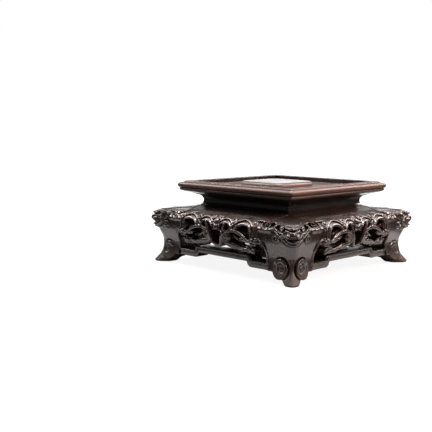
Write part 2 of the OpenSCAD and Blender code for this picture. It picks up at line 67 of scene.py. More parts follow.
# Legs: four cabriole corner posts of dark rosewood, each cut from one thick billet.
# A beast mask wraps the corner and volutes curl on both faces above a trunk-shaped, scuffed foot.
# The tenons of aprons and stretchers are glued into the inner sides.
MM = 0.001
PANEL_LIFT = 3.0
LOOP_LIFT = 1.5
DRAW_IN = 5.5
BULGE_DROP = 14.5
SHOULDER_FALL = 3.9
SEAT_EDGE = 1.0
ROUND_RUN = 11.5
APRON_LOW = 24.0
FOOT_SPREAD = 6.0
FOOT_W = 18.0
FOOT_RAKE = 9.0
FOOT_H = 10.0
TRUNK_HALF = 11.0
TOE_HALF = 6.5
HEEL_H = 10.3
LEG_CELL = 0.4
LEG_ROUND = 9.0
HIP_ROUND = 6.0
HIP_FROM = (-6.0, 4.0)
TOE_ROUND = 5.0
TOE_TO = (2.0, 12.0)
TOE_EDGE = 2.0
TRUNK_ROUND = 1.5
ROLL_CREASE = 1.0
HEEL_CREASE = 1.2
INNER_ROUND = 1.6
SOLE_ROUND = 1.0
VOLUTE_U = 15.6
VOLUTE_Z = 14.8
VOLUTE_R = 10.5
CRESCENT_R = 10.0
CURL = (63.2, 53.4)
EYE = (14.0, 52.7)
MASK_FADE = (35.5, 37.0)
HIP_FADE = (36.0, 40.0)
VOLUTE_FADE = (36.0, 32.0)
SCUFF_FADE = (19.0, 4.0)
GRID_EDGE = 1.5
MASK_ROOM = 6.5


def node_box(node):
    """The lower and upper corners of a CAD node, in millimetres."""
    return [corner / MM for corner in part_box(node)]


apron_low, apron_high = node_box("apron_front")
span_half = node_box("leg_front_right")[0].x
body_h = apron_high.z
face_half = -apron_low.y - PANEL_LIFT - LOOP_LIFT
ankle_half = face_half - DRAW_IN
bulge_z = body_h - BULGE_DROP
waist_half = -node_box("waist_front")[0].y


def curve(a, b, c, d, steps=14):
    """Points of a cubic curve from a to d with handles b and c."""
    t = np.linspace(0, 1, steps + 1)[:, None]
    a, b, c, d = (np.array(p, float) for p in (a, b, c, d))
    s = 1 - t
    return s**3 * a + 3 * s * s * t * b + 3 * s * t * t * c + t**3 * d


def face_line():
    """Shoulder, face and leg as [distance from the middle, height], from the waist to the floor."""
    round_half = face_half - ROUND_RUN
    round_z = body_h - SHOULDER_FALL
    fall = bulge_z - APRON_LOW
    shoulder = curve(
        (round_half, round_z),
        (round_half + 0.6 * ROUND_RUN, round_z - 0.1 * ROUND_RUN),
        (face_half, bulge_z + 0.5 * ROUND_RUN),
        (face_half, bulge_z),
    )
    face = curve(
        (face_half, bulge_z),
        (face_half, bulge_z - 0.5 * fall),
        (ankle_half + 0.3 * DRAW_IN, APRON_LOW + 0.3 * fall),
        (ankle_half, APRON_LOW),
    )
    foot = curve(
        (ankle_half, APRON_LOW),
        (ankle_half - 1, 0.6 * APRON_LOW),
        (ankle_half + 2.2, 0.28 * APRON_LOW),
        (ankle_half + FOOT_SPREAD, TOE_EDGE),
    )
    toe = (ankle_half + FOOT_SPREAD, 0)
    return np.vstack([[(waist_half + SEAT_EDGE, body_h)], shoulder, face[1:], foot[1:], [toe]])


def face_at(z):
    """Distance of the face from the middle at each height, and its share square to the face."""
    line = face_line()[::-1]
    at = np.interp(z, line[:, 1], line[:, 0])
    slope = np.gradient(at, z)
    return at, 1 / np.sqrt(1 + slope * slope)


def round_max(a, b, k):
    """The meeting of two solids with a rounded edge."""
    h = np.clip(1 - np.abs(a - b) / k, 0, 1)
    return np.maximum(a, b) + h * h * k / 4


def round_min(a, b, k):
    """The union of two solids with a softened crease."""
    return -round_max(-a, -b, k)


def ease(low, high, x):
    """A smooth step from 0 at low to 1 at high."""
    t = np.clip((x - low) / (high - low), 0, 1)
    return t * t * (3 - 2 * t)


def flowing(rows, steps=7):
    """A smooth line through rows of [place, height, half width]."""
    rows = np.array(rows, float)
    ends = np.vstack([2 * rows[0] - rows[1], rows, 2 * rows[-1] - rows[-2]])
    t = np.linspace(0, 1, steps, endpoint=False)[:, None]
    parts = []
    for p0, p1, p2, p3 in zip(ends, ends[1:], ends[2:], ends[3:]):
        bend = 2 * p0 - 5 * p1 + 4 * p2 - p3
        parts.append(0.5 * (2 * p1 + (p2 - p0) * t + bend * t**2 + (3 * p1 - p0 - 3 * p2 + p3) * t**3))
    line = np.vstack(parts + [rows[-1:]])
    line[:, 2] = np.maximum(line[:, 2], 0.15)
    return line


def spiral(place, z, r_out, r_in, turns, start, w_out, w_in, steps=40):
    """Rows of a scroll that winds in from its rim; start is in degrees and turns may be negative."""
    t = np.linspace(0, 1, steps)
    r = r_out + (r_in - r_out) * t
    a = math.radians(start) + 2 * math.pi * turns * t
    return np.stack([place + r * np.cos(a), z + r * np.sin(a), w_out + (w_in - w_out) * t], 1)


def stroke(line, u, z):
    """Distance to the edge of a cut line, and the distance from its middle as a share of its half width."""
    edge = np.full(np.broadcast(u, z).shape, 1e3)
    share = edge.copy()
    for a, b in zip(line, line[1:]):
        run = b[:2] - a[:2]
        t = np.clip(((u - a[0]) * run[0] + (z - a[1]) * run[1]) / max(run @ run, 1e-9), 0, 1)
        w = a[2] + t * (b[2] - a[2])
        away = np.hypot(u - a[0] - t * run[0], z - a[1] - t * run[1])
        edge = np.minimum(edge, away - w)
        share = np.minimum(share, away / w)
    return edge, share


def half_round(share):
    """The height of a half-round back, 1 in the middle and 0 at its edges."""
    return np.sqrt(np.clip(1 - share**2, 0, 1))


def bell(away, width):
    """A soft bump, 1 in the middle."""
    return np.exp(-((away / width) ** 2))


def ridge(line, height, u, z):
    """A half-round ridge along a line."""
    return height * half_round(stroke(line, u, z)[1])


def groove(line, depth, u, z):
    """A soft cut along a line, as deep as it says in the middle."""
    return depth * bell(stroke(line, u, z)[1], 1)


def dome(place, at_z, r, height, u, z, rz=None):
    """A low dome on the face."""
    return height * half_round(np.hypot((u - place) / r, (z - at_z) / (rz or r)))


def skin(field, low, cell):
    """The surface where a field changes sign, as points and four-sided faces."""
    size = [n - 1 for n in field.shape]
    corners = [(i, j, k) for i in (0, 1) for j in (0, 1) for k in (0, 1)]

    def at(c):
        return field[c[0] : c[0] + size[0], c[1] : c[1] + size[1], c[2] : c[2] + size[2]]

    inside = sum((at(c) < 0).astype(np.int8) for c in corners)
    active = (inside > 0) & (inside < 8)
    values = {c: at(c)[active] for c in corners}
    cells = np.argwhere(active)
    total = np.zeros((len(cells), 3))
    hits = np.zeros(len(cells))
    for axis in range(3):
        for c in corners:
            if c[axis]:
                continue
            d = tuple(1 if n == axis else c[n] for n in range(3))
            crossed = (values[c] < 0) != (values[d] < 0)
            gap = np.where(crossed, values[c] - values[d], 1)
            point = np.tile(np.array(c, float), (len(cells), 1))
            point[:, axis] = values[c] / gap
            total += np.where(crossed[:, None], point, 0)
            hits += crossed
    points = np.array(low) + cell * (cells + total / hits[:, None])
    index = np.full(size, -1)
    index[active] = np.arange(len(cells))
    faces = []
    for axis in range(3):
        b, c = (axis + 1) % 3, (axis + 2) % 3
        moved = np.moveaxis(field, (axis, b, c), (0, 1, 2))
        places = np.moveaxis(index, (axis, b, c), (0, 1, 2))
        start = moved[:-1, 1:-1, 1:-1] < 0
        end = moved[1:, 1:-1, 1:-1] < 0
        i, j, k = np.nonzero(start != end)
        quad = [places[i, j, k], places[i, j + 1, k], places[i, j + 1, k + 1], places[i, j, k + 1]]
        quad = np.stack(quad, 1)
        out = start[i, j, k]
        faces.append(np.where(out[:, None], quad, quad[:, ::-1]))
    return points, np.vstack(faces)


def softened(field, reach):
    """The field averaged over a small block, for telling edges from hollows."""
    for axis in range(3):
        margin = [(reach + 1, reach) if n == axis else (0, 0) for n in range(3)]
        total = np.cumsum(np.pad(field, margin, mode="edge"), axis=axis, dtype=np.float64)
        length = field.shape[axis]
        high = np.take(total, range(2 * reach + 1, 2 * reach + 1 + length), axis=axis)
        low = np.take(total, range(length), axis=axis)
        field = (high - low) / (2 * reach + 1)
    return field


def relief_at(points, field, low, cell, reach=3):
    """Positive on worn edges and negative in hollows, in millimetres."""
    spread = softened(field, reach)
    place = np.rint((points - np.array(low)) / cell).astype(int)
    place = np.clip(place, 0, np.array(field.shape) - 1)
    return spread[tuple(place.T)] - field[tuple(place.T)]


def turned(points, turns):
    """Points of a front piece turned to another side, a quarter turn at a time."""
    c, s = ((1, 0), (0, 1), (-1, 0), (0, -1))[turns % 4]
    return points @ np.array([(c, s, 0), (-s, c, 0), (0, 0, 1)], float)


def keep_trait(mesh, trait, shares):
    """Keeps one number of a finish on each point of a mesh."""
    kept = mesh.attributes.new(trait, "FLOAT", "POINT")
    kept.data.foreach_set("value", np.array(shares, np.float32))


def keep_timber(mesh, places):
    """Keeps where each point of a mesh lay in the timber it was cut from."""
    kept = mesh.attributes.new("timber", "FLOAT_VECTOR", "POINT")
    kept.data.foreach_set("vector", places.astype(np.float32).ravel())


def wooden_mesh(name, points, faces, relief, timber):
    """A smooth mesh in metres, with its relief and its place in the timber kept on its points."""
    mesh = bpy.data.meshes.new(name)
    mesh.from_pydata((points * MM).tolist(), [], faces.tolist())
    mesh.polygons.foreach_set("use_smooth", np.ones(len(mesh.polygons), bool))
    keep_trait(mesh, "relief", relief)
    keep_timber(mesh, timber)
    mesh.update()
    return mesh


def placed(name, data):
    """A new object in the scene."""
    thing = bpy.data.objects.new(name, data)
    bpy.context.scene.collection.objects.link(thing)
    return thing


def fitted(name, mesh, node, material):
    """Puts a finished mesh in the place of its CAD node."""
    piece = placed(name, mesh)
    mesh.materials.clear()
    mesh.materials.append(material)
    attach(piece, "root")
    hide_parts(node)
    return piece


class Strand:
    """A value in a node tree, with the operators that the finishes and the boards need."""

    def __init__(self, tree, socket=None):
        self.tree = tree
        self.socket = socket

    def node(self, kind, inputs=None, output=0, **settings):
        """A new node with its settings, then its values and links, as the value it gives."""
        made = self.tree.nodes.new(kind)
        for key, value in settings.items():
            setattr(made, key, value)
        for key, value in (inputs or {}).items():
            links = value if isinstance(value, list) else [value]
            for link in links:
                if isinstance(link, Strand):
                    self.tree.links.new(link.socket, made.inputs[key])
                else:
                    made.inputs[key].default_value = link
        return Strand(self.tree, made.outputs[output])

    def maths(self, operation, a, b):
        return self.node("ShaderNodeMath", {0: a, 1: b}, operation=operation)

    def __add__(self, other):
        return self.maths("ADD", self, other)

    __radd__ = __add__

    def __sub__(self, other):
        return self.maths("SUBTRACT", self, other)

    def __rsub__(self, other):
        return self.maths("SUBTRACT", other, self)

    def __mul__(self, other):
        return self.maths("MULTIPLY", self, other)

    __rmul__ = __mul__

    def between(self, low, high):
        """0 below low and 1 above high, with an eased step between them."""
        return self.node("ShaderNodeMapRange", {0: self, 1: low, 2: high}, interpolation_type="SMOOTHSTEP")

    def mixed(self, low, high):
        """A colour that goes from low to high with this share."""
        return self.node("ShaderNodeMix", {0: self, 6: low, 7: high}, 2, data_type="RGBA")

    def stretched(self, scale):
        """This vector with each axis scaled by itself."""
        return self.node("ShaderNodeVectorMath", {0: self, 1: scale}, operation="MULTIPLY")

    def noise(self, detail, roughness, distortion=0.0):
        """Noise over this vector, about one patch to a unit."""
        inputs = {"Vector": self, "Scale": 1.0, "Detail": detail}
        inputs |= {"Roughness": roughness, "Distortion": distortion}
        return self.node("ShaderNodeTexNoise", inputs)


def waxed_wood(name, deep, warm, worn, gloss):
    """Dense hardwood, stained, rubbed with wax and worn redder on its edges, with painted shade darkening its
    hollows.
    """
    material = bpy.data.materials.new(name)
    material.use_nodes = True
    tree = material.node_tree
    shader = tree.nodes["Principled BSDF"]
    start = Strand(tree)
    timber = start.node("ShaderNodeAttribute", output=1, attribute_name="timber")
    relief, rubbed, scuffed = (
        start.node("ShaderNodeAttribute", output=2, attribute_name=trait)
        for trait in ("relief", "rubbed", "scuffed")
    )
    figure = timber.stretched(FIGURE_GRAIN).noise(6.0, 0.62, 0.7)
    bands = timber.stretched(BAND_GRAIN).noise(2.0, 0.5, 0.4)
    smears = timber.stretched(SMEAR_GRAIN).noise(3.0, 0.6)
    streak = (figure * 0.7 + bands * 0.45).between(*STREAK_STEP)
    pore = timber.stretched(PORE_GRAIN).noise(2.0, 0.5).between(*PORE_STEP)
    edge = relief.between(*EDGE_STEP) * (0.2 + smears * 0.8)
    hollow = (0.0 - relief).between(*HOLLOW_STEP)
    pore_colour = [PORE_SHADE * part for part in deep]
    colour = streak.mixed((*deep, 1), (*warm, 1))
    colour = (pore * 0.55).mixed(colour, (*pore_colour, 1))
    colour = (edge * 0.6).mixed(colour, (*worn, 1))
    colour = (rubbed * (0.35 + streak * 0.5)).mixed(colour, (*RUBBED, 1))
    colour = (scuffed * (0.2 + smears * 0.6)).mixed(colour, (*SCUFFED, 1))
    # painted shade: the carving's hollows are mixed towards near-black, where shade falls
    colour = (hollow * 0.8).mixed(colour, (*PAINTED_HOLLOW_SHADE, 1))
    rough = gloss + smears.between(*SMEAR_STEP) * 0.12 + pore * 0.1 + hollow * 0.25
    rough = rough - edge * 0.1 + rubbed * 0.2 + scuffed * 0.36
    height = 0.6 * figure - pore * 0.8
    grain = {"Strength": GRAIN_BUMP, "Distance": GRAIN_DEPTH, "Height": height}
    bump = start.node("ShaderNodeBump", grain)
    for value, name in ((colour, "Base Color"), (rough, "Roughness"), (bump, "Normal")):
        tree.links.new(value.socket, shader.inputs[name])
    wax = WAX_COAT - hollow * 0.4 - rubbed * 0.35 - scuffed * 0.4
    tree.links.new(wax.socket, shader.inputs["Coat Weight"])
    shader.inputs["Coat Roughness"].default_value = WAX_ROUGH
    shader.inputs["IOR"].default_value = WOOD_IOR
    return material


FIGURE_GRAIN = (0.014, 0.2, 0.2)
BAND_GRAIN = (0.005, 0.06, 0.06)
PORE_GRAIN = (0.22, 3.2, 3.2)
SMEAR_GRAIN = (0.05, 0.05, 0.05)
STREAK_STEP = (0.42, 0.78)
PORE_STEP = (0.6, 0.72)
SMEAR_STEP = (0.35, 0.75)
EDGE_STEP = (0.1, 0.34)
HOLLOW_STEP = (0.04, 0.35)
WAX_COAT = 0.45
WAX_ROUGH = 0.16
WOOD_IOR = 1.5
GRAIN_BUMP = 0.12
GRAIN_DEPTH = 0.00012
PORE_SHADE = 0.35
# near-black colour of the painted shade in the carving's hollows
PAINTED_HOLLOW_SHADE = (0.003, 0.0026, 0.002)
RUBBED = (0.125, 0.06, 0.048)
SCUFFED = (0.033, 0.0145, 0.009)
DARK_GLOSS = 0.27
DARK_DEEP = (0.007, 0.0052, 0.0042)
DARK_WARM = (0.02, 0.0105, 0.0078)
DARK_WORN = (0.06, 0.034, 0.027)
dark_rosewood = waxed_wood("dark_rosewood", DARK_DEEP, DARK_WARM, DARK_WORN, DARK_GLOSS)


def hip(u, z):
    """Height of the smooth roll beside the mask, of the curl on it and of the bands over it."""
    roll = ease(53, 55, u) * ease(75, 68, u)
    lift = roll * 1.7 * bell(z - 50.3, 2.6)
    curl = spiral(*CURL, 4.3, 0.7, -1.5, 200, 1.25, 0.8)
    band = flowing([(50, 57.0, 1.3), (57, 57.3, 1.6), (66, 57.2, 1.5), (73, 56.6, 0.9)])
    slot = flowing([(53.5, 53.2, 0.7), (56, 53.5, 1.0), (58.5, 53.8, 0.6)])
    lift = np.maximum(lift, np.maximum(ridge(curl, 2.1, u, z), ridge(band, 1.3, u, z)))
    lift = lift - groove(slot, 1.7, u, z)
    return lift - 0.9 * bell(np.hypot(u - CURL[0], z - CURL[1]) - 2.2, 0.8)


def mask(s, z):
    """Height of the beast mask: s runs along both faces from the corner."""
    muzzle = 2.8 * bell(s, 13) * bell(z - 44.5, 6.5)
    forehead = 2.6 * bell(s, 12) * bell(z - 55.5, 4.5)
    brow = [(8.6, 54.0, 0.7), (11.5, 55.2, 1.2), (16, 55.8, 1.3), (20.5, 54.9, 1.1), (23, 53.2, 0.6)]
    cheek = [(22.4, 53.4, 0.6), (18.9, 49.6, 1.0), (14.2, 49.0, 1.0), (9.6, 50.4, 0.7)]
    lip = [(-1, 40.6, 1.0), (4, 41.0, 1.1), (7.5, 43, 1.1), (11, 46, 1.0), (13.4, 48.4, 0.6)]
    jaw = [(-1, 38, 1.3), (5, 38.7, 1.3), (10, 41.2, 1.3), (15, 44.3, 1.2), (19, 47.1, 1.0), (23, 50.4, 0.5)]
    jaw = flowing(jaw)
    whisker = spiral(21.4, 43.2, 3.9, 0.6, 1.5, 130, 1.15, 0.7)
    tail = [(18.6, 46.0, 0.6), (17.4, 42.6, 1.0), (18.6, 39.4, 0.9), (21.5, 37.6, 0.3)]
    parts = [
        ridge(flowing(brow), 1.9, s, z),
        ridge(flowing(cheek), 1.4, s, z),
        ridge(flowing(lip), 1.4, s, z),
        ridge(jaw, 1.5, s, z),
        ridge(whisker, 1.6, s, z),
        ridge(flowing(tail), 1.2, s, z),
        dome(*EYE, 2.7, 2.0, s, z),
        dome(0, 53.7, 9.0, 1.3, s, z, 2.3),
        dome(0, 48.8, 5.0, 1.4, s, z, 3.4),
        dome(7.0, 46.4, 2.6, 1.8, s, z),
        dome(13.2, 45.4, 2.0, 1.5, s, z),
    ]
    lift = muzzle + forehead + 1.1 * np.maximum.reduce(parts) * ease(57.4, 55.6, z)
    mouth = ease(8.6, 6.6, s) * ease(41.6, 42.6, z) * ease(46.2, 45.2, z)
    teeth = sum(bell(s - place, 0.75) for place in (1.4, 4.0, 6.4)) * ease(43.2, 44.4, z)
    lift = lift - mouth * (1.1 - 0.9 * teeth)
    pupil = 1.2 * bell(s - 13.8, 0.95) * bell(z - 52.6, 0.95)
    socket = 1.4 * bell(np.hypot(s - EYE[0], z - EYE[1]) - 3.6, 0.8)
    creases = 1.2 * bell(z - 51.6 - 0.01 * s * s, 0.6) * ease(9.5, 7.5, s)
    creases = creases + 0.9 * bell(z - 55.2, 0.6) * ease(8.5, 6.5, s)
    lift = lift - pupil - socket - creases
    return lift - 0.5 * groove(jaw * (1, 1, 0.35) + (0, -2.1, 0), 1.0, s, z)


def volute(s, z, centre):
    """Height of the volutes and of the trunk between them."""
    away = np.hypot(s - centre, z - VOLUTE_Z)
    turn = np.radians(np.linspace(60, 255, 24))
    width = 1.1 * np.sin(np.linspace(0.25, math.pi - 0.25, 24))
    crescent = np.stack(
        [centre + CRESCENT_R * np.cos(turn), VOLUTE_Z + CRESCENT_R * np.sin(turn), width], 1
    )
    roll = spiral(centre, VOLUTE_Z, 7.2, 3.2, 1.2, 40, 2.2, 1.4, 50)
    lift = np.maximum(ridge(roll, 0.9, s, z), dome(centre, VOLUTE_Z, 2.4, 0.9, s, z))
    lift = lift - groove(crescent, 2.0, s, z) + 0.5 * ease(9.6, 7.8, away)
    trunk = ease(30, 22, z) * ease(-1, 5, z)
    return lift + 0.5 * trunk * np.clip(1 - (s / 6.0) ** 2, 0, 1)


def leg_field():
    """A field that is negative inside the front right leg, over [along X, along -Y, height]."""
    low = np.array([span_half, span_half, 0]) - GRID_EDGE
    high = np.array([face_half + MASK_ROOM, face_half + MASK_ROOM, body_h + GRID_EDGE])
    count = np.ceil((high - low) / LEG_CELL).astype(int) + 1
    axes = [low[n] + LEG_CELL * np.arange(count[n]) for n in range(3)]
    p = axes[0][:, None, None]
    q = axes[1][None, :, None]
    z = axes[2][None, None, :]
    at, square = face_at(axes[2])
    steps = np.arange(count[0])
    apart = np.abs(steps[:, None] - steps[None, :])
    s = LEG_CELL * steps[:, None]
    flat = axes[2][None, :]
    centre = np.interp(VOLUTE_Z, axes[2], at) - span_half - VOLUTE_U
    carving = mask(s, flat) * ease(*MASK_FADE, flat) + hip(at[None, :] - s, flat) * ease(*HIP_FADE, flat)
    carving = carving + volute(s, flat, centre) * ease(*VOLUTE_FADE, flat)
    first = (p - at) * square
    second = (q - at) * square
    soft = LEG_ROUND + (HIP_ROUND - LEG_ROUND) * ease(*HIP_FROM, z - bulge_z)
    soft = TOE_ROUND + (soft - TOE_ROUND) * ease(*TOE_TO, z)
    body = round_max(first, second, soft) - carving[apart]
    body = np.maximum(body, z - body_h)
    foot_in = ankle_half + FOOT_SPREAD - FOOT_W
    lean = FOOT_RAKE / (HEEL_H + 1)
    discs = [np.hypot(v - span_half - VOLUTE_U, z - VOLUTE_Z) - VOLUTE_R for v in (p, q)]
    rakes = [(foot_in - lean * z - v) / math.hypot(1, lean) for v in (p, q)]
    sides = np.abs(p - q) / math.sqrt(2) - TOE_HALF - (TRUNK_HALF - TOE_HALF) * z / FOOT_H
    trunk = round_max(np.maximum(*rakes), sides, TRUNK_ROUND)
    rolls = np.minimum(np.maximum(discs[0], rakes[1]), np.maximum(rakes[0], discs[1]))
    low_end = round_min(np.minimum(rolls, np.maximum(*discs)), trunk, ROLL_CREASE)
    body = round_max(body, round_min(low_end, HEEL_H - z, HEEL_CREASE), INNER_ROUND)
    body = np.maximum(body, np.maximum(span_half - p, span_half - q))
    return round_max(body, -z, SOLE_ROUND), low


field, low = leg_field()
points, faces = skin(field, low, LEG_CELL)
relief = relief_at(points, field, low, LEG_CELL)
front = points * (1, -1, 1)
LEG_NODES = ("leg_front_right", "leg_back_right", "leg_back_left", "leg_front_left")
LEG_CUT = (0, 0, 19)
LEG_APART = (140, 37, 0)
for turns, node in enumerate(LEG_NODES):
    timber = points[:, (2, 0, 1)] + LEG_CUT + turns * np.array(LEG_APART)
    mesh = wooden_mesh(node + "_carved", turned(front, turns), faces[:, ::-1], relief, timber)
    keep_trait(mesh, "scuffed", ease(*SCUFF_FADE, points[:, 2]))
    fitted(node + "_carved", mesh, node, dark_rosewood)

# Stretchers: four humpbacked rails of dark rosewood that tie the ankles together under the aprons.
# Each is bent from one strip, with a bead worked along its top front edge, and is tenoned into the legs.
STRETCHER_D = 17.0
STRETCHER_T = 7.0
STRETCHER_BACK = 1.0
STRETCHER_ROUND = 1.0
HUMP_RISE = 5.2
END_L = 23.4
SLOPE_RUN = 5.0
FRAME_BEAD_W = 2.4
BEAD_TURN = 2.6
BEAD_RISE = 2.2
BEAD_EDGE = 1.1
BEAD_SUNK = 0.2
ROUND_STEPS = 5
TIMBER_APART = (310.0, 47.0, 23.0)
WEAR_REACH = 0.9
WEAR_MOST = 0.5
CRISP_ANGLE = math.radians(35)


def tree_ends(tree, names):
    """The named inputs of a tree, from its base to its wood, and the node that takes its result."""
    kinds = ["Geometry", *["Float"] * (len(names) - 2), "Material"]
    for name, kind in zip(names, kinds):
        tree.interface.new_socket(name, in_out="INPUT", socket_type="NodeSocket" + kind)
    tree.interface.new_socket("Piece", in_out="OUTPUT", socket_type="NodeSocketGeometry")
    entry = tree.nodes.new("NodeGroupInput")
    inputs = [Strand(tree, entry.outputs[n]) for n in range(len(names))]
    return inputs, tree.nodes.new("NodeGroupOutput")


def sweep_tree():
    """A bar with rounded edges that follows a path, then is turned to its side."""
    tree = bpy.data.node_groups.new("swept_bar", "GeometryNodeTree")
    names = ("Path", "Width", "Height", "Round", "Side", "Wood")
    (path, width, height, radius, side, wood), result = tree_ends(tree, names)
    line = path.node("GeometryNodeMeshToCurve", {"Mesh": path})
    line = path.node("GeometryNodeSetCurveNormal", {"Curve": line}, mode="Z_UP")
    section = path.node("GeometryNodeCurvePrimitiveQuadrilateral", {"Width": width, "Height": height})
    fillet = {"Curve": section, "Count": ROUND_STEPS, "Radius": radius, "Limit Radius": True}
    section = path.node("GeometryNodeFilletCurve", fillet, mode="POLY")
    swept = {"Curve": line, "Profile Curve": section, "Fill Caps": True}
    bar = path.node("GeometryNodeCurveToMesh", swept)
    finish_board(bar, side, wood, result)
    return tree


def finish_board(board, side, wood, result):
    """Keeps a board's place in the timber, turns it to its side and gives it its wood."""
    place = board.node("GeometryNodeInputPosition")
    apart = board.node("ShaderNodeCombineXYZ", {n: side * TIMBER_APART[n] for n in range(3)})
    timber = place.stretched((1 / MM, 1 / MM, 1 / MM))
    timber = board.node("ShaderNodeVectorMath", {0: timber, 1: apart}, operation="ADD")
    stored = {"Geometry": board, "Name": "timber", "Value": timber}
    board = board.node("GeometryNodeStoreNamedAttribute", stored, data_type="FLOAT_VECTOR", domain="POINT")
    angle = board.node("ShaderNodeCombineXYZ", {2: side * (math.pi / 2)})
    turn = board.node("FunctionNodeEulerToRotation", {"Euler": angle})
    board = board.node("GeometryNodeTransform", {"Geometry": board, "Rotation": turn})
    board = board.node("GeometryNodeRealizeInstances", {"Geometry": board})
    board = board.node("GeometryNodeSetMaterial", {"Geometry": board, "Material": wood})
    board.tree.links.new(board.socket, result.inputs[0])


def grown(base, tree, values):
    """The plain mesh that a tree makes of a base mesh."""
    holder = placed(base.name, base)
    growth = holder.modifiers.new("growth", "NODES")
    growth.node_group = tree
    for socket in tree.interface.items_tree:
        if socket.name in values:
            growth[socket.identifier] = values[socket.name]
    seen = holder.evaluated_get(bpy.context.evaluated_depsgraph_get())
    mesh = bpy.data.meshes.new_from_object(seen)
    holder.modifiers.remove(growth)
    bpy.data.objects.remove(holder)
    return mesh


def polyline(name, points):
    """A base mesh of points in a row."""
    mesh = bpy.data.meshes.new(name)
    mesh.from_pydata((np.array(points) * MM).tolist(), [(i, i + 1) for i in range(len(points) - 1)], [])
    return mesh


def joined(name, meshes):
    """Several meshes as one."""
    form = bmesh.new()
    for mesh in meshes:
        form.from_mesh(mesh)
    whole = bpy.data.meshes.new(name)
    form.to_mesh(whole)
    form.free()
    return whole


def worn(mesh):
    """Gives a mesh its relief from the bend at each point, smooth faces and crisp arrises."""
    form = bmesh.new()
    form.from_mesh(mesh)
    bmesh.ops.recalc_face_normals(form, faces=form.faces)
    form.to_mesh(mesh)
    form.free()
    count = len(mesh.vertices)
    points = np.empty(3 * count, np.float32)
    normals = np.empty(3 * count, np.float32)
    ends = np.empty(2 * len(mesh.edges), np.int32)
    mesh.vertices.foreach_get("co", points)
    mesh.vertices.foreach_get("normal", normals)
    mesh.edges.foreach_get("vertices", ends)
    points = points.reshape(-1, 3) / MM
    normals = normals.reshape(-1, 3)
    total = np.zeros(count)
    weight = np.zeros(count)
    for a, b in (ends[0::2], ends[1::2]), (ends[1::2], ends[0::2]):
        run = points[a] - points[b]
        length = np.maximum((run * run).sum(1), 0.01)
        bend = 2 * (normals[a] * run).sum(1) / length
        share = 1 / (1 + length)
        np.add.at(total, a, bend * share)
        np.add.at(weight, a, share)
    relief = total / np.maximum(weight, 1e-6) * WEAR_REACH**2 / 4
    keep_trait(mesh, "relief", np.clip(relief, -WEAR_MOST, WEAR_MOST))
    mesh.polygons.foreach_set("use_smooth", np.ones(len(mesh.polygons), bool))
    mesh.set_sharp_from_angle(angle=CRISP_ANGLE)
    mesh.update()
    return mesh


def hump_path(end, drop, back):
    """The hump's line from one leg to the other, at a height and a distance back from the front."""
    low_u = span_half - END_L
    high_u = low_u - SLOPE_RUN
    pull = 0.6 * SLOPE_RUN
    rise = curve((low_u, 0), (low_u - pull, 0), (high_u + pull, HUMP_RISE), (high_u, HUMP_RISE))
    half = np.vstack([end, rise])
    line = np.vstack([half, half[::-1] * (-1, 1)])
    return [(u, -back, drop + z) for u, z in line]


def bar_sizes(width, height, radius):
    """The sizes of a swept bar, as its tree takes them."""
    return {"Width": width * MM, "Height": height * MM, "Round": radius * MM}


stretcher_low = node_box("stretcher_front")[0]
rail_z = stretcher_low.z + STRETCHER_T / 2
rail_back = -stretcher_low.y - STRETCHER_BACK
bead_z = stretcher_low.z + STRETCHER_T - FRAME_BEAD_W / 2
bead_end = span_half - FRAME_BEAD_W / 2
corner = curve((bead_end, BEAD_RISE), (bead_end, 0.6), (bead_end - 0.8, 0), (bead_end - BEAD_TURN, 0), 6)
swept_bar = sweep_tree()
SIDES = ("front", "right", "back", "left")
for turns, side in enumerate(SIDES):
    node = "stretcher_" + side
    values = {"Side": float(turns), "Wood": dark_rosewood}
    rail = polyline(node, hump_path([(span_half, 0)], rail_z, rail_back - STRETCHER_D / 2))
    rail = grown(rail, swept_bar, values | bar_sizes(STRETCHER_D, STRETCHER_T, STRETCHER_ROUND))
    bead = polyline(node, hump_path(corner, bead_z, rail_back - BEAD_SUNK))
    bead = grown(bead, swept_bar, values | bar_sizes(FRAME_BEAD_W, FRAME_BEAD_W, BEAD_EDGE))
    mesh = worn(joined(node + "_beaded", [rail, bead]))
    fitted(node + "_beaded", mesh, node, dark_rosewood)

# Aprons: four boards of rosewood with a sloping shoulder, pierced and carved with scrolls, leaves
# and a hanging loop. Each is sawn out, carved through from the front and tenoned between two legs.
APRON_CELL = 0.58
WALL_T = 12.0
SHOULDER_T = 9.0
FRIEZE_D = 2.0
PIERCED_D = 8.2
INNER_SLIT = (13.5, 12.0)
OUTER_SLIT = (38.0, 16.0)
SLIT_H = 6.0
SLIT_Z = 48.2
HEAD = (14.0, 38.0)
HEAD_R = 5.0
OPENING = (49.5, 28.3)
OPENING_R = 11.0
ROLL_Z = 39.3
BELT = (44.9, 52.9)
BELT_LOW = 35.5
BELT_RIBS = (46.6, 50.8)
GROUND = -3.4
SET_BACK = -9.0
SHOULDER_FADE = (59.0, 57.2)
PANEL_ROOM = 8.0
PANEL_SIDE = (1.6, -0.4)
PANEL_TOP = (0.6, 4.0)
STRAP_ROUND = 1.4
STRAP_OVERLAP = 0.4
APRON_CUT = (0, 0, 71)
APRON_APART = (410, 53, 0)
ROSE_GLOSS = 0.26

wall_in = face_half - WALL_T
frieze_z = body_h - SHOULDER_T - FRIEZE_D
ROSE_DEEP = (0.0075, 0.0053, 0.0042)
ROSE_WARM = (0.026, 0.012, 0.0088)
ROSE_WORN = (0.085, 0.042, 0.033)
rosewood = waxed_wood("rosewood", ROSE_DEEP, ROSE_WARM, ROSE_WORN, ROSE_GLOSS)


def rounded(line, base, high, vein, u, z):
    """A strap of carving as its edge and the height of its round back, with cut veins."""
    edge, share = stroke(flowing(line), u, z)
    veins = bell(share, 0.16) + 0.7 * bell(share - 0.62, 0.12)
    return edge, base + high * half_round(share) - vein * veins


